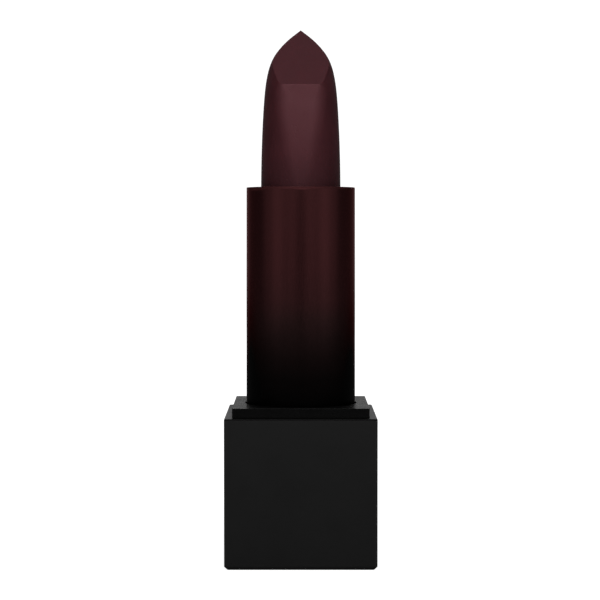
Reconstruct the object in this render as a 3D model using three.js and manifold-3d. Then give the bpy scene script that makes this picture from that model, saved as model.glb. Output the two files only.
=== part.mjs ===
// Twist-up lipstick with a square base. The round sleeve turns on the base and raises or lowers the bullet.
// Millimetres, +Z up. The origin is the centre of the base's underside, and the front faces -Y.
// The bullet is fully raised. Its cup slides in the slotted tube, driven by the spiral in the sleeve.
import * as THREE from "three";
import { mergeVertices } from "three/addons/utils/BufferGeometryUtils.js";
import Module from "manifold-3d";

const wasm = await Module();
wasm.setup();

// Base
const BASE_WIDTH = 22.6;
const BASE_HEIGHT = 22.35;
const BASE_WALL = 1.12;
const BASE_FLOOR = 1.6;
const BOTTOM_EDGE_RADIUS = 0.5;
const SIDE_EDGE_RADIUS = 0.3;
const LABEL_WIDTH = 15;
const LABEL_SIDE_GAP = 0.2;
const LABEL_CORNER_RADIUS = 2;
const LABEL_THICKNESS = 0.15;
const LABEL_RECESS = 0.3;
const WEIGHT_WIDTH = 19.8;
const WEIGHT_THICKNESS = 3.3;
const WEIGHT_CORNER_RADIUS = 1.5;

// Collar plate and its magnets
const COLLAR_WIDTH = 20.3;
const COLLAR_TOP = 23.8;
const COLLAR_THICKNESS = 2.9;
const COLLAR_HOLE_RADIUS = 8.5;
const MAGNET_RADIUS = 1.5;
const MAGNET_THICKNESS = 2;
const MAGNET_OFFSET = 7.95; // from the centre, along X and along Y
const MAGNET_ROUND_GAP = 0.03;
const MAGNET_TOP_GAP = 0.1;

// Mechanism: the sleeve's exposed top, and the radii from the bullet outwards
const SLEEVE_TOP = 56.5;
const BULLET_RADIUS = 6.04;
const CUP_INNER_RADIUS = 6.09;
const CUP_OUTER_RADIUS = 6.45;
const TUBE_INNER_RADIUS = 6.55;
const TUBE_OUTER_RADIUS = 7.05;
const SPIRAL_INNER_RADIUS = 7.12;
const SPIRAL_OUTER_RADIUS = 7.9;
const SLEEVE_INNER_RADIUS = 7.93;
const SLEEVE_FOOT_RADIUS = 8.28;
const SLEEVE_RIM_RADIUS = 8.235; // the sleeve narrows by this much draft
const WELL_RADIUS = 8.6;

// Heights of the parts inside
const LINER_WIDTH = 20.1;
const LINER_DECK = 1.4;
const LINER_FLOOR = 1.1;
const LINER_RIB = 1.2;
const LINER_VENT_RADIUS = 2;
const SOCKET_WALL = 1.3;
const WELL_FLOOR = 16;
const TURNING_FOOT = 17; // the lower ends of the sleeve and the spiral
const TUBE_TOP = 56.1;
const BEAD_RADIUS = 7.5; // the bead at the tube's top, which holds the spiral down
const BEAD_HEIGHT = 0.35;
const BEAD_GAP = 0.15;
const RIM_LIP = 0.35; // thickness of the sleeve's turned-in lip
const RIM_LIP_RADIUS = 7.62;
const RIM_EDGE = 0.12;
const BRAKE_SECTION_RADIUS = 0.4;

// Lift: two lugs on the cup follow two grooves in the spiral
const LEAD = 14; // rise in one turn
const TRAVEL = 25;
const LUG_RADIUS = 0.9;
const LUG_REACH = 7.5; // from the axis to the lug's end
const LUG_RAISED_Z = 44;
const LUG_CLEARANCE = 0.15;
const GROOVE_RADIUS = 7.58;
const GROOVE_TOP_STOP = 9; // degrees of groove past the raised lug
const GROOVE_RUN_OUT = 84; // degrees of groove past the lowered lug, out through the spiral's foot
const DEGREES_PER_STEP = 7.5;

// Cup
const CUP_BOTTOM = 42.4;
const CUP_TOP = 55;
const CUP_FLOOR = 1;
const CUP_VENT_RADIUS = 1.5;
const CUP_RIBS = 6;
const CUP_RIB_DEPTH = 0.35;
const CUP_RIB_WIDTH = 0.7;
const CUP_RIB_TOP = 52.5;

// Bullet: a round stick whose tip is cut by a slanted face and a steep front panel
const STEM_GAP = 0.05;
const FACET_ANGLE = 45; // degrees above the horizontal
const FACET_EDGE_Z = 71.8; // where the slanted face meets the front panel
const FACET_EDGE_DEPTH = 4.14; // that edge's distance in front of the axis
const PANEL_LEAN = 7.2; // degrees from the vertical
const BACK_TAPER_POWER = 2.4;
const TIP_BLEND = 1.2; // how softly the sections start to move back below the tip

const ROUND_SIDES = 48;
const SLEEVE_SIDES = 64;
const SMALL_SIDES = 24;
const CUT = 40; // size of a tool that cuts right past the part

const LINER_BOTTOM = BASE_FLOOR + WEIGHT_THICKNESS;
const COLLAR_BOTTOM = COLLAR_TOP - COLLAR_THICKNESS;
const TUBE_BOTTOM = LINER_BOTTOM + LINER_FLOOR;
const GRIP_GAP = 0.03; // round a part that is pressed into another

// Half width of the bullet, from the cup's rim to its tip, as seen from the front
const BULLET_OUTLINE = new THREE.SplineCurve([
  new THREE.Vector2(BULLET_RADIUS, CUP_TOP),
  new THREE.Vector2(5.98, 60.3),
  new THREE.Vector2(5.77, 66.2),
  new THREE.Vector2(5.4, 71.2),
  new THREE.Vector2(4.9, 74.2),
  new THREE.Vector2(4.08, 76.45),
  new THREE.Vector2(2.6, 78.47),
  new THREE.Vector2(0, 80.79),
]);
const OUTLINE_STEPS = 26;

const radians = THREE.MathUtils.degToRad;

function solid(geometry) {
  const bare = geometry.clone();
  bare.deleteAttribute("normal");
  bare.deleteAttribute("uv");
  const merged = mergeVertices(bare, 1e-4);
  const corners = merged.index.array;
  const kept = [];
  for (let i = 0; i < corners.length; i += 3) {
    const [a, b, c] = corners.slice(i, i + 3);
    if (a !== b && b !== c && c !== a) {
      kept.push(a, b, c);
    }
  }
  return new wasm.Manifold(
    new wasm.Mesh({
      numProp: 3,
      vertProperties: new Float32Array(merged.attributes.position.array),
      triVerts: new Uint32Array(kept),
    }),
  );
}

function part(name, shape, color, roughness, metalness) {
  const { vertProperties, triVerts } = shape.getMesh();
  const geometry = new THREE.BufferGeometry();
  geometry.setAttribute("position", new THREE.BufferAttribute(vertProperties, 3));
  geometry.setIndex(new THREE.BufferAttribute(triVerts, 1));
  geometry.computeVertexNormals();
  const material = new THREE.MeshStandardMaterial({ color, roughness, metalness, flatShading: true });
  const mesh = new THREE.Mesh(geometry, material);
  mesh.name = name;
  return mesh;
}

// Revolves a profile of [radius, height] points about Z. A ring's profile is closed here.
function revolve(points, sides = ROUND_SIDES) {
  const profile = points.map(([radius, height]) => new THREE.Vector2(radius, height));
  if (points[0][0] > 0) {
    profile.push(profile[0].clone());
  }
  return solid(new THREE.LatheGeometry(profile, sides).rotateX(Math.PI / 2));
}

function cylinder(radius, bottom, top, sides = ROUND_SIDES) {
  return revolve([[0, bottom], [radius, bottom], [radius, top], [0, top]], sides);
}

function box(width, depth, bottom, top) {
  const middle = (bottom + top) / 2;
  return solid(new THREE.BoxGeometry(width, depth, top - bottom).translate(0, 0, middle));
}

function roundedSquare(width, radius) {
  const half = width / 2;
  const inner = half - radius;
  const shape = new THREE.Shape();
  shape.absarc(inner, inner, radius, 0, Math.PI / 2);
  shape.absarc(-inner, inner, radius, Math.PI / 2, Math.PI);
  shape.absarc(-inner, -inner, radius, Math.PI, Math.PI * 1.5);
  shape.absarc(inner, -inner, radius, Math.PI * 1.5, Math.PI * 2);
  shape.closePath();
  return shape;
}

function roundedBlock(width, radius, bottom, top) {
  const options = { depth: top - bottom, bevelEnabled: false, curveSegments: 4 };
  return solid(new THREE.ExtrudeGeometry(roundedSquare(width, radius), options).translate(0, 0, bottom));
}

// A square block whose lower edge is rounded. It is longer than the base, and the cut above it trims it.
function bottomRoundedBlock(width, radius) {
  const half = width / 2;
  const square = new THREE.Shape([
    new THREE.Vector2(-half, -half),
    new THREE.Vector2(half, -half),
    new THREE.Vector2(half, half),
    new THREE.Vector2(-half, half),
  ]);
  const options = {
    depth: BASE_HEIGHT,
    bevelThickness: radius,
    bevelSize: radius,
    bevelOffset: -radius,
    bevelSegments: 4,
  };
  return solid(new THREE.ExtrudeGeometry(square, options).translate(0, 0, radius));
}

function baseShell() {
  const shape = bottomRoundedBlock(BASE_WIDTH, BOTTOM_EDGE_RADIUS)
    .intersect(roundedBlock(BASE_WIDTH, SIDE_EDGE_RADIUS, 0, BASE_HEIGHT))
    .subtract(roundedBlock(BASE_WIDTH - 2 * BASE_WALL, SIDE_EDGE_RADIUS, BASE_FLOOR, CUT))
    .subtract(roundedBlock(LABEL_WIDTH, LABEL_CORNER_RADIUS, -CUT, LABEL_RECESS));
  return part("base_shell", shape, 0x1b1b1c, 0.62, 0);
}

function bottomLabel() {
  const width = LABEL_WIDTH - 2 * LABEL_SIDE_GAP;
  const shape = roundedBlock(width, LABEL_CORNER_RADIUS, LABEL_RECESS - LABEL_THICKNESS, LABEL_RECESS);
  return part("bottom_label", shape, 0xb9b7b2, 0.8, 0);
}

function baseWeight() {
  const shape = roundedBlock(WEIGHT_WIDTH, WEIGHT_CORNER_RADIUS, BASE_FLOOR, LINER_BOTTOM);
  return part("base_weight", shape, 0x8d8f92, 0.4, 1);
}

function baseLiner() {
  const socketRadius = TUBE_OUTER_RADIUS + SOCKET_WALL;
  const wellWallRadius = WELL_RADIUS + SOCKET_WALL;
  const deckBottom = COLLAR_BOTTOM - LINER_DECK;
  const shape = box(LINER_WIDTH, LINER_WIDTH, deckBottom, COLLAR_BOTTOM)
    .add(box(LINER_WIDTH, LINER_WIDTH, LINER_BOTTOM, TUBE_BOTTOM))
    .add(box(LINER_WIDTH, LINER_RIB, LINER_BOTTOM, COLLAR_BOTTOM))
    .add(box(LINER_RIB, LINER_WIDTH, LINER_BOTTOM, COLLAR_BOTTOM))
    .add(cylinder(socketRadius, LINER_BOTTOM, WELL_FLOOR))
    .add(cylinder(wellWallRadius, WELL_FLOOR - SOCKET_WALL, COLLAR_BOTTOM))
    .subtract(cylinder(WELL_RADIUS, WELL_FLOOR, CUT))
    .subtract(cylinder(TUBE_OUTER_RADIUS + GRIP_GAP, TUBE_BOTTOM, CUT))
    .subtract(cylinder(LINER_VENT_RADIUS, 0, CUT));
  return part("base_liner", shape, 0x222224, 0.55, 0);
}

function collarPlate() {
  let shape = roundedBlock(COLLAR_WIDTH, SIDE_EDGE_RADIUS, COLLAR_BOTTOM, COLLAR_TOP)
    .subtract(cylinder(COLLAR_HOLE_RADIUS, 0, CUT, SLEEVE_SIDES));
  const pocketTop = COLLAR_BOTTOM + MAGNET_THICKNESS + MAGNET_TOP_GAP;
  const pocket = cylinder(MAGNET_RADIUS + MAGNET_ROUND_GAP, 0, pocketTop, SMALL_SIDES);
  for (const [x, y] of magnetPlaces()) {
    shape = shape.subtract(pocket.translate([x, y, 0]));
  }
  return part("collar_plate", shape, 0x1e1e1f, 0.5, 0);
}

function magnetPlaces() {
  const d = MAGNET_OFFSET;
  return [[d, d], [-d, d], [-d, -d], [d, -d]];
}

function closureMagnets() {
  const disc = cylinder(MAGNET_RADIUS, COLLAR_BOTTOM, COLLAR_BOTTOM + MAGNET_THICKNESS, SMALL_SIDES);
  return magnetPlaces().map(([x, y], i) =>
    part(`closure_magnet_${i + 1}`, disc.translate([x, y, 0]), 0xc6c8ca, 0.25, 1),
  );
}

function slottedInnerTube() {
  const shape = revolve([
    [TUBE_INNER_RADIUS, TUBE_BOTTOM],
    [TUBE_OUTER_RADIUS, TUBE_BOTTOM],
    [TUBE_OUTER_RADIUS, TUBE_TOP - BEAD_HEIGHT],
    [BEAD_RADIUS, TUBE_TOP - BEAD_HEIGHT],
    [BEAD_RADIUS, TUBE_TOP - BEAD_HEIGHT / 2],
    [TUBE_OUTER_RADIUS, TUBE_TOP],
    [TUBE_INNER_RADIUS, TUBE_TOP],
  ]);
  return part("slotted_inner_tube", shape.subtract(slotTool()), 0x1a1a1b, 0.35, 0);
}

// One tool cuts both slots, because it runs through the whole tube along X.
function slotTool() {
  const radius = LUG_RADIUS + LUG_CLEARANCE;
  const top = LUG_RAISED_Z + LUG_CLEARANCE;
  const bottom = LUG_RAISED_Z - TRAVEL - LUG_CLEARANCE;
  const outline = new THREE.Shape();
  outline.absarc(0, top, radius, 0, Math.PI);
  outline.absarc(0, bottom, radius, Math.PI, Math.PI * 2);
  outline.closePath();
  const options = { depth: CUT, bevelEnabled: false, curveSegments: 8 };
  const tool = new THREE.ExtrudeGeometry(outline, options).translate(0, 0, -CUT / 2);
  return solid(tool.rotateX(Math.PI / 2).rotateZ(Math.PI / 2));
}

function brakeRing() {
  const radius = (TUBE_OUTER_RADIUS + SPIRAL_OUTER_RADIUS) / 2 + GRIP_GAP;
  const torus = new THREE.TorusGeometry(radius, BRAKE_SECTION_RADIUS, 8, ROUND_SIDES);
  const height = WELL_FLOOR + BRAKE_SECTION_RADIUS + GRIP_GAP;
  return part("brake_ring", solid(torus.translate(0, 0, height)), 0x7d2f2c, 0.6, 0);
}

function outerSleeve() {
  const shape = revolve(
    [
      [SLEEVE_INNER_RADIUS, TURNING_FOOT],
      [SLEEVE_FOOT_RADIUS, TURNING_FOOT],
      [SLEEVE_RIM_RADIUS, SLEEVE_TOP - RIM_EDGE],
      [SLEEVE_RIM_RADIUS - RIM_EDGE, SLEEVE_TOP],
      [RIM_LIP_RADIUS, SLEEVE_TOP],
      [RIM_LIP_RADIUS, SLEEVE_TOP - RIM_LIP],
      [SLEEVE_INNER_RADIUS, SLEEVE_TOP - RIM_LIP],
    ],
    SLEEVE_SIDES,
  );
  return part("outer_sleeve", shape, 0x3a1719, 0.35, 0.8);
}

function spiralSleeve() {
  const lipBottom = SLEEVE_TOP - RIM_LIP;
  const beadSeat = TUBE_TOP - BEAD_HEIGHT - BEAD_GAP;
  const shape = revolve([
    [SPIRAL_INNER_RADIUS, TURNING_FOOT],
    [SPIRAL_OUTER_RADIUS, TURNING_FOOT],
    [SPIRAL_OUTER_RADIUS, lipBottom],
    [RIM_LIP_RADIUS, lipBottom],
    [RIM_LIP_RADIUS, beadSeat],
    [SPIRAL_INNER_RADIUS, beadSeat],
  ])
    .subtract(grooveTool(0))
    .subtract(grooveTool(180));
  return part("spiral_sleeve", shape, 0x242426, 0.45, 0);
}

// A bar bent into the right-handed helix that a lug follows. An angle of 0 is the raised lug's place.
function grooveTool(startAngle) {
  const lowerEnd = -(TRAVEL / LEAD) * 360 - GROOVE_RUN_OUT;
  const sweep = GROOVE_TOP_STOP - lowerEnd;
  const steps = Math.round(sweep / DEGREES_PER_STEP);
  const helixAngle = Math.atan2(LEAD, 2 * Math.PI * SPIRAL_INNER_RADIUS);
  const width = (2 * (LUG_RADIUS + LUG_CLEARANCE)) / Math.cos(helixAngle);
  const innerRadius = SPIRAL_INNER_RADIUS - LUG_CLEARANCE;
  const bar = new THREE.BoxGeometry(GROOVE_RADIUS - innerRadius, 1, width, 1, steps, 1);
  const corners = bar.attributes.position;
  for (let i = 0; i < corners.count; i++) {
    const radius = (innerRadius + GROOVE_RADIUS) / 2 + corners.getX(i);
    const turned = lowerEnd + (corners.getY(i) + 0.5) * sweep;
    const angle = radians(turned + startAngle);
    const height = LUG_RAISED_Z + (LEAD * turned) / 360 + corners.getZ(i);
    corners.setXYZ(i, radius * Math.cos(angle), radius * Math.sin(angle), height);
  }
  return solid(bar);
}

function lipstickCup() {
  const floorTop = CUP_BOTTOM + CUP_FLOOR;
  let shape = revolve([
    [CUP_VENT_RADIUS, CUP_BOTTOM],
    [CUP_OUTER_RADIUS, CUP_BOTTOM],
    [CUP_OUTER_RADIUS, CUP_TOP],
    [CUP_INNER_RADIUS, CUP_TOP],
    [CUP_INNER_RADIUS, floorTop],
    [CUP_VENT_RADIUS, floorTop],
  ]);
  const wallMiddle = (CUP_INNER_RADIUS + CUP_OUTER_RADIUS) / 2;
  const lugLength = LUG_REACH - wallMiddle;
  const lugMiddle = (LUG_REACH + wallMiddle) / 2;
  for (const side of [-1, 1]) {
    const lug = new THREE.CylinderGeometry(LUG_RADIUS, LUG_RADIUS, lugLength, SMALL_SIDES);
    shape = shape.add(solid(lug.rotateZ(Math.PI / 2).translate(side * lugMiddle, 0, LUG_RAISED_Z)));
  }
  const ribInner = CUP_INNER_RADIUS - CUP_RIB_DEPTH;
  for (let i = 0; i < CUP_RIBS; i++) {
    const height = CUP_RIB_TOP - CUP_BOTTOM;
    const rib = new THREE.BoxGeometry(wallMiddle - ribInner, CUP_RIB_WIDTH, height);
    rib.translate((wallMiddle + ribInner) / 2, 0, CUP_BOTTOM + height / 2);
    shape = shape.add(solid(rib.rotateZ((i * 2 * Math.PI) / CUP_RIBS)));
  }
  return part("lipstick_cup", shape, 0x29292b, 0.35, 0);
}

function lipstickBullet() {
  const stemRadius = CUP_INNER_RADIUS - CUP_RIB_DEPTH - STEM_GAP;
  const profile = [
    new THREE.Vector2(0, CUP_BOTTOM + CUP_FLOOR + STEM_GAP),
    new THREE.Vector2(stemRadius, CUP_BOTTOM + CUP_FLOOR + STEM_GAP),
    new THREE.Vector2(stemRadius, CUP_RIB_TOP),
    new THREE.Vector2(BULLET_RADIUS, CUP_RIB_TOP + STEM_GAP),
    ...BULLET_OUTLINE.getPoints(OUTLINE_STEPS),
  ];
  const body = new THREE.LatheGeometry(profile, ROUND_SIDES).rotateX(Math.PI / 2);
  leanTip(body);
  const facet = cuttingBlock(FACET_ANGLE);
  const panel = cuttingBlock(90 - PANEL_LEAN);
  return part("lipstick_bullet", solid(body).subtract(facet).subtract(panel), 0x3c1f24, 0.45, 0);
}

// Round the height where the slanted face crosses the axis, the sections start to move back with that face,
// and the back of each one tapers to the tip, so that the bullet's widest line follows the face's edge.
function leanTip(body) {
  const tip = BULLET_OUTLINE.points.at(-1).y;
  const corners = body.attributes.position;
  for (let i = 0; i < corners.count; i++) {
    const [x, y, z] = [corners.getX(i), corners.getY(i), corners.getZ(i)];
    if (z <= CUP_TOP) {
      continue;
    }
    const rise = (z - CUP_TOP) / (tip - CUP_TOP);
    const back = BULLET_RADIUS - (BULLET_RADIUS - sectionCentre(tip)) * rise ** BACK_TAPER_POWER;
    const centre = sectionCentre(z);
    const halfWidth = Math.hypot(x, y);
    const stretch = y > 0 ? (back - centre) / halfWidth : 1;
    corners.setY(i, centre + y * stretch);
  }
}

// How far behind the axis a section of the bullet is centred
function sectionCentre(height) {
  const slope = Math.tan(radians(FACET_ANGLE));
  const crossing = FACET_EDGE_Z + FACET_EDGE_DEPTH * slope;
  const faceDepth = (height - crossing) / slope;
  return (faceDepth + Math.hypot(faceDepth, TIP_BLEND)) / 2;
}

// A block in front of the plane that rises to the back at this angle from the bullet's facet edge.
function cuttingBlock(angle) {
  const block = new THREE.BoxGeometry(CUT, CUT, CUT).translate(0, 0, CUT / 2);
  block.rotateX(radians(angle)).translate(0, -FACET_EDGE_DEPTH, FACET_EDGE_Z);
  return solid(block);
}

const lipstick = new THREE.Group();
lipstick.add(
  baseShell(),
  bottomLabel(),
  baseWeight(),
  baseLiner(),
  collarPlate(),
  ...closureMagnets(),
  slottedInnerTube(),
  brakeRing(),
  outerSleeve(),
  spiralSleeve(),
  lipstickCup(),
  lipstickBullet(),
);

export default lipstick;
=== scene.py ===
"""The looks of a twist-up lipstick: a square matt base, a graded metal sleeve and a slanted plum bullet.

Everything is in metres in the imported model's frame: +Z up, the front faces -Y, and the origin is under
the base. Lengths below are in millimetres and are turned into metres where a mesh or a node is made.
"""

import math

import bmesh
import bpy
from mathutils import Matrix, Vector

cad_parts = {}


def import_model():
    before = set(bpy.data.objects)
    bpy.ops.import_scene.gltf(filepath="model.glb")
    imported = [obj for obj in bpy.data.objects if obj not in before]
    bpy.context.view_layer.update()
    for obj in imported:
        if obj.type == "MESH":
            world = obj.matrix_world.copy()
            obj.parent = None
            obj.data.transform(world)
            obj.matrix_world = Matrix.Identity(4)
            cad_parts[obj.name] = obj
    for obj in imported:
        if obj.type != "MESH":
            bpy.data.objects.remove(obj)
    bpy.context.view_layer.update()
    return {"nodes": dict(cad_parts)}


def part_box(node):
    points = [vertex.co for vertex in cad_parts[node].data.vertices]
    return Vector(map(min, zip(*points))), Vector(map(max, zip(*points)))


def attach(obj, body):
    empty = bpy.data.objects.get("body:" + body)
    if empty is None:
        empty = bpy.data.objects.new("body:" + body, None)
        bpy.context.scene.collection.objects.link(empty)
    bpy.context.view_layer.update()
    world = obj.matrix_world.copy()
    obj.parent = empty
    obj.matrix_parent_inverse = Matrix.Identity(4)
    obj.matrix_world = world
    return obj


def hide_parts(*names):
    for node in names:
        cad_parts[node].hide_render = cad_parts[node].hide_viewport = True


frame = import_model()

MM = 0.001


def mm_box(node):
    """A CAD node's lowest and highest corners, in millimetres."""
    low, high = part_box(node)
    return low / MM, high / MM


# Places that the CAD model settles
BASE_HALF = mm_box("base_shell")[1].x
BASE_TOP = mm_box("base_shell")[1].z
COLLAR_HALF = mm_box("collar_plate")[1].x
COLLAR_BOTTOM = mm_box("collar_plate")[0].z
COLLAR_TOP = mm_box("collar_plate")[1].z
SLEEVE_FOOT = mm_box("outer_sleeve")[0].z
SLEEVE_TOP = mm_box("outer_sleeve")[1].z
SLEEVE_FOOT_RADIUS = mm_box("outer_sleeve")[1].x
TUBE_BOTTOM = mm_box("slotted_inner_tube")[0].z
TUBE_TOP = mm_box("slotted_inner_tube")[1].z
BEAD_RADIUS = mm_box("slotted_inner_tube")[1].x
CUP_BOTTOM = mm_box("lipstick_cup")[0].z
CUP_TOP = mm_box("lipstick_cup")[1].z
CUP_OUTER_RADIUS = mm_box("lipstick_cup")[1].y
LUG_REACH = mm_box("lipstick_cup")[1].x
BULLET_BOTTOM = mm_box("lipstick_bullet")[0].z
TIP = mm_box("lipstick_bullet")[1].z
BULLET_RADIUS = mm_box("lipstick_bullet")[1].y
LABEL_LOW, LABEL_HIGH = mm_box("bottom_label")

# Walls and gaps that a box can't tell
BASE_WALL = 1.12
BASE_FLOOR = 1.6
SIDE_EDGE_RADIUS = 0.3
BOTTOM_CHAMFER = 0.52
CHAMFER_EASE = 0.15
LIP_THICKNESS = 0.22
LIP_EDGE_RADIUS = 0.19
SEAM_RADIUS = 0.03
FINE_EDGE_RADIUS = 0.08
LABEL_GAP = 0.2
LABEL_CORNER = 2.0
SHARPEST_CORNER = 0.1
COLLAR_HOLE_RADIUS = 8.5
COLLAR_EDGE_RADIUS = 0.05
COLLAR_TOP_BAND = 0.6
HOLE_BAND = 0.4
MAGNET_POCKET_RADIUS = 1.53
MAGNET_POCKET_DEPTH = 2.1
MAGNET_OFFSET = 7.95
SLEEVE_INNER_RADIUS = 7.93
SLEEVE_RIM_RADIUS = 8.235
RIM_LIP = 0.35
RIM_LIP_RADIUS = 7.62
RIM_ROLL = 0.1
TUBE_INNER_RADIUS = 6.55
TUBE_OUTER_RADIUS = 7.05
BEAD_HEIGHT = 0.35
SLOT_RADIUS = 1.05
SLOT_TOP = 44.15
SLOT_BOTTOM = 18.85
CUP_INNER_RADIUS = 6.09
CUP_FLOOR = 1.0
CUP_VENT_RADIUS = 1.5
CUP_RIBS = 6
CUP_RIB_TOP = 52.5
CUP_RIB_DEPTH = 0.35
CUP_RIB_WIDTH = 0.7
CUP_RIB_RAMP = 0.4
LUG_RADIUS = 0.9
LUG_Z = 44.0
STEM_RADIUS = 5.69

# Points round a turned piece
SLEEVE_SIDES = 256
TUBE_SIDES = 128
SLOT_END_STEPS = 16

# The camera
CAMERA_LENS = 111.15
CAMERA_PLACE = (-0.115, -282, 50.6)
CAMERA_TILT_DEGREES = 2.277


# ---------------------------------------------------------------- camera


def camera():
    """A little under the sleeve's rim and a long way off for the object's size, tilted down a little."""
    data = bpy.data.cameras.new("camera")
    data.sensor_width = 36
    data.lens = CAMERA_LENS
    cam = bpy.data.objects.new("camera", data)
    cam.location = Vector(CAMERA_PLACE) * MM
    cam.rotation_euler = (math.radians(90 - CAMERA_TILT_DEGREES), 0, 0)
    data.clip_start, data.clip_end = 0.01, 20
    bpy.context.scene.collection.objects.link(cam)
    bpy.context.scene.camera = cam


camera()


# ---------------------------------------------------------------- mesh code


def make_piece(name, points, faces):
    """A mesh object from points in millimetres, with its faces turned outward."""
    mesh = bpy.data.meshes.new(name)
    mesh.from_pydata([Vector(p) * MM for p in points], [], faces)
    tidy = bmesh.new()
    tidy.from_mesh(mesh)
    bmesh.ops.remove_doubles(tidy, verts=tidy.verts, dist=1e-7)
    bmesh.ops.recalc_face_normals(tidy, faces=tidy.faces)
    tidy.to_mesh(mesh)
    tidy.free()
    piece = bpy.data.objects.new(name, mesh)
    bpy.context.scene.collection.objects.link(piece)
    return piece


def skin(name, rings, closed=False):
    """Joins rings of equal length. An open stack gets a flat cap at each end, and a closed one joins up."""
    count = len(rings[0])
    points = [p for ring in rings for p in ring]
    faces = []
    spans = len(rings) if closed else len(rings) - 1
    for i in range(spans):
        low, high = i * count, (i + 1) % len(rings) * count
        for k in range(count):
            after = (k + 1) % count
            faces.append((low + k, low + after, high + after, high + k))
    if not closed:
        faces.append(tuple(range(count)))
        faces.append(tuple(range((len(rings) - 1) * count, len(rings) * count)))
    return make_piece(name, points, faces)


def filleted(corners, closed=False, steps=5):
    """Rounds a profile of (across, height, radius) corners into (across, height) points."""
    points = []
    for i, (x, z, radius) in enumerate(corners):
        here = Vector((x, z))
        at_end = not closed and i in (0, len(corners) - 1)
        if radius <= 0 or at_end:
            points.append(here)
            continue
        before = Vector(corners[i - 1][:2]) - here
        after = Vector(corners[(i + 1) % len(corners)][:2]) - here
        half_angle = before.angle(after) / 2
        reach = radius / math.tan(half_angle)
        bisector = (before.normalized() + after.normalized()).normalized()
        centre = here + bisector * (radius / math.sin(half_angle))
        start = here + before.normalized() * reach - centre
        end = here + after.normalized() * reach - centre
        turn = start.angle_signed(end)
        for k in range(steps + 1):
            points.append(centre + Matrix.Rotation(-turn * k / steps, 2) @ start)
    return [(p.x, p.y) for p in points]


def circle_ring(radius, height, count):
    turn = 2 * math.pi / count
    return [(radius * math.cos(i * turn), radius * math.sin(i * turn), height) for i in range(count)]


def lathe(name, profile, sides):
    return skin(name, [circle_ring(r, z, sides) for r, z in profile], closed=True)


SIDE_STEPS = 12
CORNER_STEPS = 8
SQUARE_COUNT = 4 * (2 * SIDE_STEPS + CORNER_STEPS)


def square_ring(half, corner, height):
    """A rounded square, from the middle of its +X side. It has SQUARE_COUNT points."""
    quarter = [(half, (half - corner) * i / SIDE_STEPS) for i in range(SIDE_STEPS)]
    for i in range(CORNER_STEPS + 1):
        angle = math.pi / 2 * i / CORNER_STEPS
        quarter.append((half - corner + corner * math.cos(angle), half - corner + corner * math.sin(angle)))
    quarter += [((half - corner) * (1 - i / SIDE_STEPS), half) for i in range(1, SIDE_STEPS)]
    ring = []
    for turn in ((1, 0), (0, 1), (-1, 0), (0, -1)):
        ring += [(x * turn[0] - y * turn[1], x * turn[1] + y * turn[0], height) for x, y in quarter]
    return ring


def boolean(piece, tool, operation="DIFFERENCE"):
    """Cuts a piece with a tool, or joins it on, and removes the tool."""
    cut = piece.modifiers.new("cut", "BOOLEAN")
    cut.operation = operation
    cut.solver = "EXACT"
    cut.object = tool
    bpy.context.view_layer.update()
    made = bpy.data.meshes.new_from_object(piece.evaluated_get(bpy.context.evaluated_depsgraph_get()))
    piece.modifiers.clear()
    piece.data = made
    bpy.data.objects.remove(tool)


def rod(radius, start, end, sides=32):
    """A closed cylinder between two points, as a tool or a part of a piece."""
    axis = Vector(end) - Vector(start)
    turn = axis.to_track_quat("Z", "Y")
    ring = [Vector(p) for p in circle_ring(radius, 0, sides)]
    return skin("tool", [[tuple(turn @ p + Vector(at)) for p in ring] for at in (start, end)])


def dress(piece, body, material, replaced, angle=30):
    """Finishes a piece: smooth shading with sharp corners, material, body and the node it stands for."""
    piece.data.materials.clear()
    piece.data.materials.append(material)
    for face in piece.data.polygons:
        face.use_smooth = True
    piece.data.set_sharp_from_angle(angle=math.radians(angle))
    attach(piece, body)
    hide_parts(replaced)


# ---------------------------------------------------------------- materials


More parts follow.
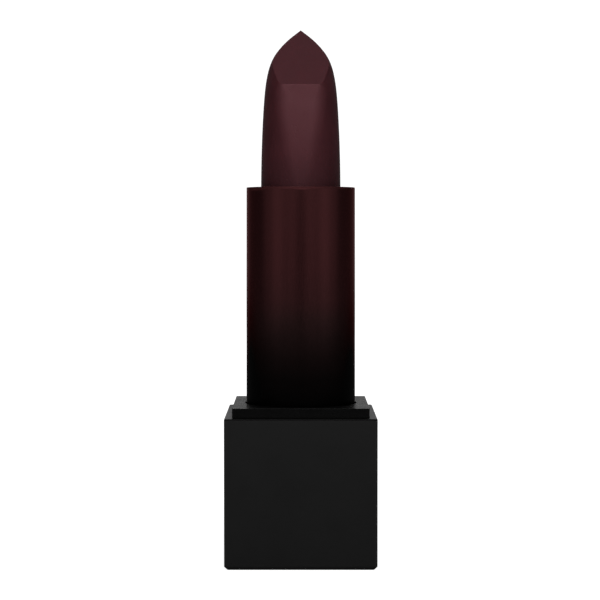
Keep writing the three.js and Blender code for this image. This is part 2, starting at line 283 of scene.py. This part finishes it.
class Look:
    """A Principled material with short calls for its nodes. Sizes of grain are in millimetres."""

    def __init__(self, name, **settings):
        self.material = bpy.data.materials.new(name)
        self.material.use_nodes = True
        self.tree = self.material.node_tree
        self.shader = self.tree.nodes["Principled BSDF"]
        for key, value in settings.items():
            self.shader.inputs[key.replace("_", " ")].default_value = value
        self.place = self.add("ShaderNodeTexCoord").outputs["Object"]

    def add(self, kind, **settings):
        node = self.tree.nodes.new(kind)
        for key, value in settings.items():
            setattr(node, key, value)
        return node

    def feed(self, socket, value):
        if isinstance(value, bpy.types.NodeSocket):
            self.tree.links.new(value, socket)
        else:
            socket.default_value = value

    def noise(self, grain, detail=3.0, roughness=0.5, stretch=(1, 1, 1)):
        """Noise from 0 to 1. Its features are about grain across, times stretch along each axis."""
        scale = self.add("ShaderNodeMapping")
        self.feed(scale.inputs["Vector"], self.place)
        scale.inputs["Scale"].default_value = [1 / (grain * MM * s) for s in stretch]
        noise = self.add("ShaderNodeTexNoise")
        self.feed(noise.inputs["Vector"], scale.outputs["Vector"])
        noise.inputs["Scale"].default_value = 1.0
        noise.inputs["Detail"].default_value = detail
        noise.inputs["Roughness"].default_value = roughness
        return noise.outputs["Fac"]

    def mapped(self, value, low, high, new_low, new_high):
        node = self.add("ShaderNodeMapRange", clamp=True)
        for socket, number in zip(node.inputs, (value, low, high, new_low, new_high)):
            self.feed(socket, number)
        return node.outputs["Result"]

    def maths(self, operation, a, b):
        node = self.add("ShaderNodeMath", operation=operation)
        self.feed(node.inputs[0], a)
        self.feed(node.inputs[1], b)
        return node.outputs[0]

    def mixed(self, factor, a, b):
        node = self.add("ShaderNodeMix", data_type="RGBA")
        self.feed(node.inputs["Factor"], factor)
        self.feed(node.inputs[6], a)
        self.feed(node.inputs[7], b)
        return node.outputs[2]

    def ramp(self, value, stops):
        """A colour from (position, colour) stops."""
        node = self.add("ShaderNodeValToRGB")
        self.feed(node.inputs["Fac"], value)
        elements = node.color_ramp.elements
        while len(elements) < len(stops):
            elements.new(0.5)
        for element, (position, colour) in zip(elements, stops):
            element.position = position
            element.color = colour
        return node.outputs["Color"]

    def bump(self, *layers):
        """Stacks (height from 0 to 1, depth in micrometres) layers of bump."""
        normal = None
        for height, depth in layers:
            node = self.add("ShaderNodeBump")
            node.inputs["Distance"].default_value = depth * 1e-6
            self.feed(node.inputs["Height"], height)
            if normal is not None:
                self.feed(node.inputs["Normal"], normal)
            normal = node.outputs["Normal"]
        self.feed(self.shader.inputs["Normal"], normal)

    def set(self, name, value):
        self.feed(self.shader.inputs[name], value)


def grey(level, warmth=0.0):
    return (level * (1 + warmth), level, level * (1 - warmth), 1)


def edge_wear_and_highlight(look, half):
    """From 0 to 1 on the upright edges of a square block of this half width, broken up by noise. It masks a
    painted edge highlight and the edges' wear.
    """
    split = look.add("ShaderNodeSeparateXYZ")
    look.feed(split.inputs[0], look.place)
    across, along = (look.maths("ABSOLUTE", split.outputs[axis], 0) for axis in "XY")
    nearest = look.maths("MINIMUM", across, along)
    near_edge = look.mapped(nearest, (half - 0.45) * MM, (half - 0.1) * MM, 0, 1)
    return look.maths("MULTIPLY", near_edge, look.mapped(look.noise(0.7, detail=3), 0.3, 0.65, 0.35, 1))


def moulded_plastic(name, dark, light, roughness, specular, grain=0.09, depth=3.0, half=None):
    """Matt moulded plastic: a fine spark-eroded grain, and slow drift in tone and gloss from handling.

    With half, the half width of a square block, its upright edges get a painted highlight, a lighter
    colour, and are worn smoother.
    """
    look = Look(name, Specular_IOR_Level=specular)
    fine = look.noise(grain, detail=4, roughness=0.65)
    drift = look.noise(5.0, detail=3)
    tone = look.maths("ADD", look.maths("MULTIPLY", fine, 0.55), look.maths("MULTIPLY", drift, 0.45))
    colour = look.mixed(look.mapped(tone, 0.35, 0.65, 0, 1), dark, light)
    matt = look.mapped(drift, 0.35, 0.65, roughness - 0.04, roughness + 0.04)
    if half is not None:
        highlight_and_wear = edge_wear_and_highlight(look, half)
        # Painted highlight: the upright edges are mixed towards a lighter grey; the lower roughness below
        # is their wear.
        colour = look.mixed(look.maths("MULTIPLY", highlight_and_wear, 0.6), colour, grey(light[0] * 2))
        matt = look.maths("SUBTRACT", matt, look.maths("MULTIPLY", highlight_and_wear, 0.1))
    look.set("Base Color", colour)
    look.set("Roughness", matt)
    look.bump((fine, depth))
    return look.material


def sleeve_metal():
    """Satin metallised lacquer, burgundy at the rim and black at the foot."""
    look = Look("sleeve_metal", Metallic=1.0, Coat_Weight=0.1, Coat_Roughness=0.3)
    split = look.add("ShaderNodeSeparateXYZ")
    look.feed(split.inputs[0], look.place)
    drift = look.noise(7.0, detail=2)
    height = look.maths("ADD", split.outputs["Z"], look.mapped(drift, 0.3, 0.7, -0.4 * MM, 0.4 * MM))
    along = look.mapped(height, COLLAR_TOP * MM, SLEEVE_TOP * MM, 0, 1)
    burgundy, smoke = Vector((0.128, 0.036, 0.039)), Vector((0.006, 0.034, 0.03))
    # How much burgundy there is, by the share of the way up from the collar
    fade = [(0.02, 0.004), (0.12, 0.04), (0.22, 0.13), (0.31, 0.28),
            (0.4, 0.5), (0.49, 0.78), (0.63, 0.94), (0.78, 1.0)]
    shades = [(at, burgundy * share + smoke * min(share, 0.5) * (1 - share)) for at, share in fade]
    colour = look.ramp(along, [(at, (*shade, 1)) for at, shade in shades])
    edge = look.mapped(height, (COLLAR_TOP + 2) * MM, (SLEEVE_TOP - 12) * MM, 0, 1)
    look.set("Specular Tint", look.mixed(edge, (0.1, 0.07, 0.07, 1), (0.95, 0.55, 0.55, 1)))
    flake = look.noise(0.035, detail=2)
    look.set("Base Color", look.mixed(look.mapped(flake, 0.3, 0.75, 0.0, 0.12), colour, (0, 0, 0, 1)))
    streak = look.noise(0.25, detail=3, stretch=(1, 1, 24))
    rim = look.mapped(height, (SLEEVE_TOP - 0.35) * MM, (SLEEVE_TOP - 0.1) * MM, 0, 0.42)
    look.set("Roughness", look.maths("ADD", look.mapped(streak, 0.3, 0.7, 0.275, 0.292), rim))
    look.bump((look.noise(1.6, detail=1), 1.2), (flake, 0.35))
    return look.material


def bullet_wax():
    """Dark plum wax: satin, slightly translucent, with mould drag lines, pin pricks, a faint bloom and
    painted shade just above the sleeve's rim.
    """
    look = Look("bullet_wax", Specular_IOR_Level=0.9, Subsurface_Weight=0.12, Subsurface_Scale=0.4 * MM)
    look.shader.inputs["Specular Tint"].default_value = (1, 0.45, 0.51, 1)
    look.shader.inputs["Subsurface Radius"].default_value = (1.0, 0.35, 0.3)
    cloud = look.noise(3.5, detail=4)
    fine = look.noise(0.2, detail=4, roughness=0.7)
    drag = look.noise(0.22, detail=3, stretch=(1, 1, 30))
    tone = look.maths("ADD", look.maths("MULTIPLY", cloud, 0.5), look.maths("MULTIPLY", fine, 0.5))
    dark, light = (0.051, 0.0084, 0.0119, 1), (0.065, 0.0115, 0.0158, 1)
    split = look.add("ShaderNodeSeparateXYZ")
    look.feed(split.inputs[0], look.place)
    # Painted shade: darker over the 5 mm above the sleeve's rim, towards a near-black plum, as if the rim
    # shaded the wax.
    painted_rim_shade = look.mapped(split.outputs["Z"], SLEEVE_TOP * MM, (SLEEVE_TOP + 5) * MM, 0.5, 0)
    colour = look.mixed(look.mapped(tone, 0.35, 0.65, 0, 1), dark, light)
    look.set("Base Color", look.mixed(painted_rim_shade, colour, (0.012, 0.002, 0.003, 1)))
    look.set("Roughness", look.mapped(cloud, 0.3, 0.7, 0.46, 0.56))
    pricks = look.mapped(look.noise(0.5, detail=0), 0.2, 0.27, 0, 1)
    look.bump((drag, 1.5), (fine, 7.0), (pricks, 6.0))
    return look.material


def smooth_plastic(name, dark, light, roughness):
    """Polished moulded plastic for the parts inside, with faint flow marks."""
    look = Look(name)
    flow = look.noise(1.2, detail=3, stretch=(1, 1, 6))
    look.set("Base Color", look.mixed(look.mapped(flow, 0.3, 0.7, 0, 1), dark, light))
    look.set("Roughness", look.mapped(look.noise(0.3), 0.3, 0.7, roughness - 0.05, roughness + 0.05))
    look.bump((flow, 2.0), (look.noise(0.08), 0.8))
    return look.material


def stamped_steel():
    """Bright stamped steel with rolling lines along X."""
    look = Look("stamped_steel", Metallic=1.0)
    lines = look.noise(0.12, detail=4, stretch=(40, 1, 1))
    stain = look.noise(4.0, detail=4)
    look.set("Base Color", look.mixed(look.mapped(stain, 0.4, 0.7, 0, 1), grey(0.5), grey(0.34, 0.04)))
    look.set("Roughness", look.mapped(lines, 0.3, 0.7, 0.3, 0.45))
    look.bump((lines, 2.0))
    return look.material


def nickel_plate():
    look = Look("nickel_plate", Metallic=1.0)
    mottle = look.noise(0.4, detail=4)
    tone = look.mapped(mottle, 0.3, 0.7, 0, 1)
    look.set("Base Color", look.mixed(tone, grey(0.62, 0.02), grey(0.5, 0.05)))
    look.set("Roughness", look.mapped(mottle, 0.3, 0.7, 0.16, 0.28))
    look.bump((mottle, 1.5))
    return look.material


def greased_silicone():
    look = Look("greased_silicone", Coat_Weight=0.35, Coat_Roughness=0.2)
    cloud = look.noise(0.6, detail=3)
    tone = look.mapped(cloud, 0.3, 0.7, 0, 1)
    look.set("Base Color", look.mixed(tone, (0.2, 0.03, 0.025, 1), (0.27, 0.05, 0.04, 1)))
    look.set("Roughness", look.mapped(cloud, 0.3, 0.7, 0.45, 0.6))
    look.bump((look.noise(0.15), 4.0))
    return look.material


def label_paper():
    """Uncoated paper: crossed fibres and a little cockle."""
    look = Look("label_paper", Roughness=0.9, Specular_IOR_Level=0.25)
    fibres = look.maths("ADD", look.noise(0.06, stretch=(8, 1, 1)), look.noise(0.06, stretch=(1, 8, 1)))
    tone = look.mapped(fibres, 0.7, 1.3, 0, 1)
    look.set("Base Color", look.mixed(tone, (0.47, 0.455, 0.425, 1), (0.56, 0.55, 0.52, 1)))
    look.bump((look.noise(2.5), 10.0), (fibres, 5.0))
    return look.material


# ---------------------------------------------------------------- the pieces


def base_shell(material):
    """The square cup below its lip, with a chamfered foot and a shallow label recess under it."""
    recess_half = LABEL_HIGH.x + LABEL_GAP
    inner_half = BASE_HALF - BASE_WALL
    top = BASE_TOP - LIP_THICKNESS
    corners = [
        (recess_half, LABEL_HIGH.z, 0),
        (recess_half, 0, FINE_EDGE_RADIUS),
        (BASE_HALF - BOTTOM_CHAMFER, 0, CHAMFER_EASE),
        (BASE_HALF, BOTTOM_CHAMFER, CHAMFER_EASE),
        (BASE_HALF, top, SEAM_RADIUS),
        (inner_half, top, 0),
        (inner_half, BASE_FLOOR, 0),
    ]
    rings = []
    for half, height in filleted(corners):
        in_recess = half < (recess_half + inner_half) / 2 and height <= LABEL_HIGH.z
        corner = LABEL_CORNER if in_recess else side_corner(BASE_HALF, half)
        rings.append(square_ring(half, corner, height))
    piece = skin("base_shell_fine", rings)
    dress(piece, "base", material, "base_shell")


def base_lip(material):
    """The satin rim of the shell: the ledge that a cap stands on."""
    inner_half = BASE_HALF - BASE_WALL
    bottom = BASE_TOP - LIP_THICKNESS
    corners = [
        (inner_half, bottom, 0),
        (BASE_HALF, bottom, SEAM_RADIUS),
        (BASE_HALF, BASE_TOP, LIP_EDGE_RADIUS),
        (inner_half, BASE_TOP, SEAM_RADIUS),
    ]
    profile = filleted(corners, closed=True)
    rings = [square_ring(half, side_corner(BASE_HALF, half), height) for half, height in profile]
    piece = skin("base_lip_fine", rings, closed=True)
    dress(piece, "base", material, "base_shell")


def side_corner(outer_half, half):
    """The corner radius of a square ring that lies inside a square of this size with rounded corners."""
    return max(SIDE_EDGE_RADIUS - (outer_half - half), SHARPEST_CORNER)


def bottom_label(material):
    corners = [
        (LABEL_HIGH.x, LABEL_HIGH.z, 0),
        (LABEL_HIGH.x, LABEL_LOW.z, 0.04),
        (LABEL_HIGH.x - 0.2, LABEL_LOW.z, 0),
    ]
    rings = [square_ring(half, LABEL_CORNER, height) for half, height in filleted(corners, steps=3)]
    piece = skin("bottom_label_fine", rings)
    dress(piece, "base", material, "bottom_label")


def collar_plate(material):
    """The square plate round the sleeve: eased outer edges, a round hole, and pockets for the magnets."""
    outer = filleted([
        (COLLAR_HALF - 1, COLLAR_BOTTOM, 0),
        (COLLAR_HALF, COLLAR_BOTTOM, FINE_EDGE_RADIUS),
        (COLLAR_HALF, COLLAR_TOP, COLLAR_EDGE_RADIUS),
        (COLLAR_HALF - COLLAR_TOP_BAND, COLLAR_TOP, 0),
    ])
    hole = filleted([
        (COLLAR_HOLE_RADIUS + HOLE_BAND, COLLAR_TOP, 0),
        (COLLAR_HOLE_RADIUS, COLLAR_TOP, FINE_EDGE_RADIUS),
        (COLLAR_HOLE_RADIUS, COLLAR_BOTTOM, FINE_EDGE_RADIUS),
        (COLLAR_HOLE_RADIUS + HOLE_BAND, COLLAR_BOTTOM, 0),
    ])
    rings = [square_ring(half, side_corner(COLLAR_HALF, half), height) for half, height in outer]
    rings += [circle_ring(radius, height, SQUARE_COUNT) for radius, height in hole]
    piece = skin("collar_plate_fine", rings, closed=True)
    for x in (-MAGNET_OFFSET, MAGNET_OFFSET):
        for y in (-MAGNET_OFFSET, MAGNET_OFFSET):
            below, pocket_top = (x, y, COLLAR_BOTTOM - 1), (x, y, COLLAR_BOTTOM + MAGNET_POCKET_DEPTH)
            boolean(piece, rod(MAGNET_POCKET_RADIUS, below, pocket_top))
    dress(piece, "base", material, "collar_plate")


def inner_tube(material):
    """The slotted tube. Its top, with the bead that holds the spiral, shows inside the sleeve's rim."""
    bead_bottom = TUBE_TOP - BEAD_HEIGHT
    profile = filleted(
        [
            (TUBE_INNER_RADIUS, TUBE_BOTTOM, 0.1),
            (TUBE_OUTER_RADIUS, TUBE_BOTTOM, 0.1),
            (TUBE_OUTER_RADIUS, bead_bottom, 0.05),
            (BEAD_RADIUS, bead_bottom, 0.06),
            (BEAD_RADIUS, TUBE_TOP - BEAD_HEIGHT / 2, 0.1),
            (TUBE_OUTER_RADIUS, TUBE_TOP, 0.1),
            (TUBE_INNER_RADIUS, TUBE_TOP, 0.12),
        ],
        closed=True,
        steps=3,
    )
    piece = lathe("inner_tube_fine", profile, TUBE_SIDES)
    boolean(piece, slot_tool())
    dress(piece, "base", material, "slotted_inner_tube")


def slot_tool():
    """A long bar with round ends, right through the tube along X."""
    outline = []
    for centre, start in ((SLOT_TOP, 0), (SLOT_BOTTOM, math.pi)):
        for i in range(SLOT_END_STEPS + 1):
            angle = start + math.pi * i / SLOT_END_STEPS
            outline.append((SLOT_RADIUS * math.cos(angle), centre + SLOT_RADIUS * math.sin(angle)))
    return skin("tool", [[(x, y, z) for y, z in outline] for x in (-BASE_HALF, BASE_HALF)])


def outer_sleeve(material):
    """The turning shell: a slight draft, a softly rolled rim and a lip that turns in over the spiral."""
    lip_bottom = SLEEVE_TOP - RIM_LIP
    profile = filleted(
        [
            (SLEEVE_INNER_RADIUS, SLEEVE_FOOT, 0.08),
            (SLEEVE_FOOT_RADIUS, SLEEVE_FOOT, 0.12),
            (SLEEVE_RIM_RADIUS, SLEEVE_TOP, RIM_ROLL),
            (RIM_LIP_RADIUS, SLEEVE_TOP, RIM_ROLL),
            (RIM_LIP_RADIUS, lip_bottom, 0.08),
            (SLEEVE_INNER_RADIUS, lip_bottom, 0),
        ],
        closed=True,
        steps=6,
    )
    piece = lathe("outer_sleeve_fine", profile, SLEEVE_SIDES)
    dress(piece, "sleeve", material, "outer_sleeve")


def lipstick_cup(material):
    """The bullet's holder: a vented floor, six gripping ribs and two lugs that run in the slots."""
    floor_top = CUP_BOTTOM + CUP_FLOOR
    profile = filleted(
        [
            (CUP_VENT_RADIUS, CUP_BOTTOM, 0.15),
            (CUP_OUTER_RADIUS, CUP_BOTTOM, 0.25),
            (CUP_OUTER_RADIUS, CUP_TOP, 0.08),
            (CUP_INNER_RADIUS, CUP_TOP, 0.14),
            (CUP_INNER_RADIUS, floor_top, 0.1),
            (CUP_VENT_RADIUS, floor_top, 0.1),
        ],
        closed=True,
        steps=3,
    )
    piece = lathe("lipstick_cup_fine", profile, TUBE_SIDES)
    wall = (CUP_INNER_RADIUS + CUP_OUTER_RADIUS) / 2
    for side in (-1, 1):
        boolean(piece, rod(LUG_RADIUS, (side * wall, 0, LUG_Z), (side * LUG_REACH, 0, LUG_Z)), "UNION")
    for i in range(CUP_RIBS):
        boolean(piece, cup_rib(2 * math.pi * i / CUP_RIBS, wall), "UNION")
    dress(piece, "carrier", material, "lipstick_cup")


def cup_rib(angle, wall):
    """A rib on the cup's inside, from its floor up, whose top slopes back into the wall."""
    inner, side = CUP_INNER_RADIUS - CUP_RIB_DEPTH, CUP_RIB_WIDTH / 2
    turn = Matrix.Rotation(angle, 3, "Z")
    foot, shoulder = CUP_BOTTOM + CUP_FLOOR / 2, CUP_RIB_TOP - CUP_RIB_RAMP
    rings = []
    for height, reach in ((foot, inner), (shoulder, inner), (CUP_RIB_TOP, wall - 0.1)):
        corners = ((reach, -side), (wall, -side), (wall, side), (reach, side))
        rings.append([tuple(turn @ Vector((x, y, height))) for x, y in corners])
    return skin("tool", rings)


# ---------------------------------------------------------------- the bullet

# Half width seen from the front, by height, from the cup's rim to the tip
OUTLINE = [(CUP_TOP, 6.04), (57.5, 6.025), (60.5, 5.975), (63.6, 5.885), (66.6, 5.75), (69.7, 5.555),
           (72.1, 5.305), (73.9, 4.97), (75.2, 4.58), (76.4, 4.03), (77.8, 3.08), (79.15, 1.87), (TIP, 0.0)]
FACET_EDGE_Z = 71.8
FACET_EDGE_DEPTH = 4.14
FACET_SLOPE = 1.0
PANEL_FOOT_Z = 56.2
PANEL_FOOT_SLOPE = math.tan(math.radians(2.5))
PANEL_TOP_SLOPE = math.tan(math.radians(9.6))
PANEL_STRAIGHT = 0.2
PANEL_EASE_TOP = 0.8  # how far the soft corner reaches across the panel at its top, and lower down
PANEL_EASE_FRONT = 1.8
PANEL_EASE_DROP = 3.5
PANEL_EASE_SIDE = 0.9  # and how far it reaches round the side
FACET_EASE = 0.06
BACK_TAPER_POWER = 2.4
TIP_BLEND = 1.2
SHOULDER_POWER = 1.52  # below 2, the front of a section beside the facet is leaner than a circle
SHOULDER_START = FACET_EDGE_Z - 1.2
SHOULDER_END = FACET_EDGE_Z + 2.4
LARGEST_EASE_SHARE = 0.45  # of the panel's half width
SMALLEST_WIDTH = 0.02
TIP_GAP = 0.015
STEM_EDGE_RADIUS = 0.3
STEM_STEP = 0.1

# Points across a section and up the bullet
FRONT_COLUMNS = 20
SIDE_COLUMNS = 60
EASE_STEPS = 16
ARC_STEPS = 90
PANEL_ROWS = 48
EDGE_ROWS = 16
FACET_ROWS = 60
EDGE_BAND = 0.4
FACET_CROWDING = 1.25
CORNER_CROWDING = 1.3


def half_width(height):
    """The outline at a height, by a monotone cubic through its points."""
    steps = [(b[1] - a[1]) / (b[0] - a[0]) for a, b in zip(OUTLINE, OUTLINE[1:])]
    slopes = [steps[0]] + [2 * a * b / (a + b) for a, b in zip(steps, steps[1:])] + [steps[-1]]
    for i, ((z0, w0), (z1, w1)) in enumerate(zip(OUTLINE, OUTLINE[1:])):
        if height <= z1 or i == len(OUTLINE) - 2:
            span = z1 - z0
            t = min(max((height - z0) / span, 0), 1)
            bend = t * t * (3 - 2 * t)
            rise = slopes[i] * span * t * (1 - t) ** 2 - slopes[i + 1] * span * t * t * (1 - t)
            return w0 + (w1 - w0) * bend + rise
    return 0.0


def facet_depth(height):
    """How far back the slanted face lies."""
    return (height - FACET_EDGE_Z) / FACET_SLOPE - FACET_EDGE_DEPTH


def panel_depth(height):
    """How far back the panel lies. Its top PANEL_STRAIGHT share leans most, then it eases upright."""
    length = FACET_EDGE_Z - PANEL_FOOT_Z
    t = (FACET_EDGE_Z - height) / length
    u = min(max((t - PANEL_STRAIGHT) / (1 - PANEL_STRAIGHT), 0), 1)
    eased = t - (1 - PANEL_STRAIGHT) * (u**3 - u**4 / 2)
    forward = PANEL_FOOT_SLOPE * t + (PANEL_TOP_SLOPE - PANEL_FOOT_SLOPE) * eased
    return -FACET_EDGE_DEPTH - length * forward


def section_centre(height):
    """The depth where a section is widest. It follows the facet back towards the tip."""
    depth = facet_depth(height)
    return (depth + math.hypot(depth, TIP_BLEND)) / 2


def smooth_step(low, high, value):
    t = min(max((value - low) / (high - low), 0), 1)
    return t * t * (3 - 2 * t)


def section_side(height):
    """The right half of a level section, from the panel's soft corner round to the middle of the back."""
    width = max(half_width(height), SMALLEST_WIDTH)
    centre = section_centre(height)
    rise = (height - CUP_TOP) / (TIP - CUP_TOP)
    back = BULLET_RADIUS - (BULLET_RADIUS - section_centre(TIP)) * rise**BACK_TAPER_POWER
    deep = max(back - centre, SMALLEST_WIDTH)
    power = 2 + (SHOULDER_POWER - 2) * smooth_step(SHOULDER_START, SHOULDER_END, height)

    def on_arc(angle):
        across, along = max(math.cos(angle), 0), math.sin(angle)
        if along > 0:
            return Vector((width * across, centre + deep * along))
        return Vector((width * across ** (2 / power), centre - width * (-along) ** (2 / power)))

    lean = min(max((centre - panel_depth(height)) / width, 0), 0.9994)
    start = -math.asin(lean ** (power / 2))
    corner = on_arc(start)
    softer = smooth_step(0, PANEL_EASE_DROP, FACET_EDGE_Z - height)
    ease = PANEL_EASE_TOP + (PANEL_EASE_FRONT - PANEL_EASE_TOP) * softer
    largest = LARGEST_EASE_SHARE * corner.x
    on_front = corner - Vector((min(ease, largest), 0))
    arc_start = min(start + min(PANEL_EASE_SIDE, largest) / width, 0)
    on_side = on_arc(arc_start)
    side = []
    for i in range(EASE_STEPS):
        t = i / EASE_STEPS
        side.append(on_front * (1 - t) ** 2 + corner * 2 * t * (1 - t) + on_side * t * t)
    turn = (math.pi / 2 - arc_start) / ARC_STEPS
    return side + [on_arc(arc_start + turn * i) for i in range(ARC_STEPS + 1)]


def cut_off(side, depth):
    """What is left of a side behind a level line across it."""
    for i, (before, after) in enumerate(zip(side, side[1:])):
        if after.y > depth:
            share = max((depth - before.y) / max(after.y - before.y, 1e-9), 0)
            return [before.lerp(after, share)] + side[i + 1:]
    return side[-2:]


def respaced(line, count):
    """The same line with count points, closer together at its start."""
    lengths = [0.0]
    for before, after in zip(line, line[1:]):
        lengths.append(lengths[-1] + (after - before).length)
    points, i = [], 0
    for k in range(count):
        goal = lengths[-1] * (k / (count - 1)) ** CORNER_CROWDING
        while i < len(line) - 2 and lengths[i + 1] < goal:
            i += 1
        share = (goal - lengths[i]) / max(lengths[i + 1] - lengths[i], 1e-9)
        points.append(line[i].lerp(line[i + 1], min(max(share, 0), 1)))
    return points


def bullet_ring(height):
    """One level section: a straight cut front, the corners, and the round back."""
    side = section_side(height)
    if height > FACET_EDGE_Z:
        side = cut_off(side, facet_depth(height))
    side = respaced(side, SIDE_COLUMNS)
    edge = side[0]
    ease = min(FACET_EASE, edge.x / 3)
    across = [2 * i / FRONT_COLUMNS - 1 for i in range(FRONT_COLUMNS + 1)]
    front = [Vector(((edge.x - ease) * share, edge.y)) for share in across]
    side[0] = edge.lerp(side[1], 0.4)
    left = [Vector((-p.x, p.y)) for p in reversed(side[:-1])]
    return [(p.x, p.y, height) for p in front + side + left]


def bullet_heights():
    """Close together near the facet's edge and the tip, where the shape turns quickly."""
    low, high = FACET_EDGE_Z - EDGE_BAND, FACET_EDGE_Z + EDGE_BAND
    heights = [CUP_TOP + (low - CUP_TOP) * i / PANEL_ROWS for i in range(PANEL_ROWS)]
    heights += [low + (high - low) * i / EDGE_ROWS for i in range(EDGE_ROWS)]
    up_the_facet = [1 - (1 - i / FACET_ROWS) ** FACET_CROWDING for i in range(FACET_ROWS)]
    return heights + [high + (TIP - high) * share for share in up_the_facet] + [TIP - TIP_GAP]


def lipstick_bullet(material):
    """A round stem between the cup's ribs, and the bullet above the cup's rim."""
    stem = filleted([
        (STEM_RADIUS - 1, BULLET_BOTTOM, 0),
        (STEM_RADIUS, BULLET_BOTTOM, STEM_EDGE_RADIUS),
        (STEM_RADIUS, CUP_RIB_TOP, STEM_STEP),
        (BULLET_RADIUS, CUP_RIB_TOP + STEM_STEP, STEM_STEP),
        (BULLET_RADIUS, CUP_TOP - 2 * STEM_STEP, 0),
    ])
    angles = [math.atan2(y, x) for x, y, _ in bullet_ring(CUP_TOP)]
    rings = [[(r * math.cos(a), r * math.sin(a), z) for a in angles] for r, z in stem]
    rings += [bullet_ring(height) for height in bullet_heights()]
    piece = skin("lipstick_bullet_fine", rings)
    dress(piece, "carrier", material, "lipstick_bullet", angle=40)


# ---------------------------------------------------------------- build

deep_black = moulded_plastic("soft_touch_black", grey(0.01), grey(0.0132), 0.58, 0.24, half=BASE_HALF)
satin_black = moulded_plastic("satin_black", grey(0.0038), grey(0.0054), 0.26, 0.12, grain=0.06, depth=0.5)
lip_black = moulded_plastic("lip_black", grey(0.0008), grey(0.0014), 0.4, 0.1, grain=0.06, depth=0.5)
liner_grey = moulded_plastic("liner_grey", grey(0.018), grey(0.024), 0.55, 0.5, grain=0.15)
spiral_grey = smooth_plastic("spiral_grey", grey(0.026), grey(0.034), 0.4)
inner_black = smooth_plastic("inner_black", grey(0.006), grey(0.009), 0.32)
cup_black = smooth_plastic("cup_black", grey(0.008), grey(0.012), 0.3)

base_shell(deep_black)
base_lip(lip_black)
bottom_label(label_paper())
collar_plate(satin_black)
inner_tube(inner_black)
outer_sleeve(sleeve_metal())
lipstick_cup(cup_black)
lipstick_bullet(bullet_wax())

steel, nickel = stamped_steel(), nickel_plate()
kept = {
    "base_liner": liner_grey,
    "spiral_sleeve": spiral_grey,
    "base_weight": steel,
    "brake_ring": greased_silicone(),
}
kept.update({f"closure_magnet_{i}": nickel for i in range(1, 5)})
for node, look in kept.items():
    for slot in frame["nodes"][node].material_slots:
        slot.material = look


# ---------------------------------------------------------------- stage and light


FLOOR_RADIUS = 3000
FLOOR_SIDES = 64
FLOOR_LOW, FLOOR_HIGH = -0.6, -0.02
LAMP_DISTANCE = 0.6
LAMP_TARGET = Vector((0, 0, 0.045))


def floor():
    """A plain white floor that glows for the camera. The glow is weaker close to the base, a painted shade
    that, with the real cast shadow, gives a faint grey there; further off it is an even white.
    """
    rings = [circle_ring(FLOOR_RADIUS, height, FLOOR_SIDES) for height in (FLOOR_LOW, FLOOR_HIGH)]
    piece = skin("floor", rings)
    look = Look("floor_white", Roughness=1.0, Specular_IOR_Level=0.0)
    look.shader.inputs["Emission Color"].default_value = (1, 1, 1, 1)
    look.set("Base Color", (0.4, 0.4, 0.4, 1))
    away = look.add("ShaderNodeVectorMath", operation="LENGTH")
    look.feed(away.inputs[0], look.place)
    # Painted shade, in part: the camera glow is weaker within about 60 mm of the middle, so the real cast
    # shadow shows there as faint grey.
    glow = look.mapped(away.outputs["Value"], 0.02, 0.06, 0.93, 1.05)
    ray = look.add("ShaderNodeLightPath")
    look.set("Emission Strength", look.maths("MULTIPLY", ray.outputs["Is Camera Ray"], glow))
    piece.data.materials.append(look.material)


def softbox(name, azimuth, elevation, wide, high, strength):
    """An area light that faces the sleeve. Azimuth 0 is in front of the object and 90 is to its right.

    Its place and its width and height are angles in degrees, as the object sees them.
    """
    a, e = math.radians(azimuth), math.radians(elevation)
    way = Vector((math.sin(a) * math.cos(e), -math.cos(a) * math.cos(e), math.sin(e)))
    data = bpy.data.lights.new(name, "AREA")
    data.shape = "RECTANGLE"
    data.size = 2 * LAMP_DISTANCE * math.tan(math.radians(wide / 2))
    data.size_y = 2 * LAMP_DISTANCE * math.tan(math.radians(high / 2))
    data.energy = strength * data.size * data.size_y * math.pi
    lamp = bpy.data.objects.new(name, data)
    lamp.location = LAMP_TARGET + way * LAMP_DISTANCE
    lamp.rotation_mode = "QUATERNION"
    lamp.rotation_quaternion = (-way).to_track_quat("-Z", "Y")
    lamp.visible_camera = False
    bpy.context.scene.collection.objects.link(lamp)


def world():
    """White where the camera sees it, and a dim even fill for the object."""
    made = bpy.data.worlds.new("studio")
    made.use_nodes = True
    tree = made.node_tree
    back = tree.nodes["Background"]
    back.inputs["Color"].default_value = (1, 1, 1, 1)
    ray = tree.nodes.new("ShaderNodeLightPath")
    level = tree.nodes.new("ShaderNodeMapRange")
    level.inputs["To Min"].default_value = 0.027
    level.inputs["To Max"].default_value = 1.1
    tree.links.new(ray.outputs["Is Camera Ray"], level.inputs["Value"])
    tree.links.new(level.outputs["Result"], back.inputs["Strength"])
    bpy.context.scene.world = made


floor()
softbox("left_softbox", -46, 16, 74, 48, 0.16)
softbox("left_softbox_centre", -50, 16, 22, 48, 0.13)
softbox("right_softbox", 46, 16, 74, 48, 0.18)
softbox("right_softbox_centre", 52, 16, 22, 48, 0.14)
softbox("high_front_softbox", 0, 45, 36, 30, 3.65)
softbox("front_fill", 0, 16, 60, 48, 0.03)
softbox("left_wall", -110, 22, 60, 55, 0.033)
softbox("right_wall", 110, 22, 60, 55, 0.038)
softbox("left_back_softbox", -155, 18, 34, 44, 0.1)
softbox("right_back_softbox", 155, 18, 34, 44, 0.09)
softbox("low_back_softbox", 180, 5, 44, 14, 0.14)
softbox("back_softbox", 180, 32, 44, 36, 1.3)
softbox("overhead_softbox", 0, 90, 45, 45, 0.25)
world()
bpy.context.scene.view_settings.view_transform = "Standard"
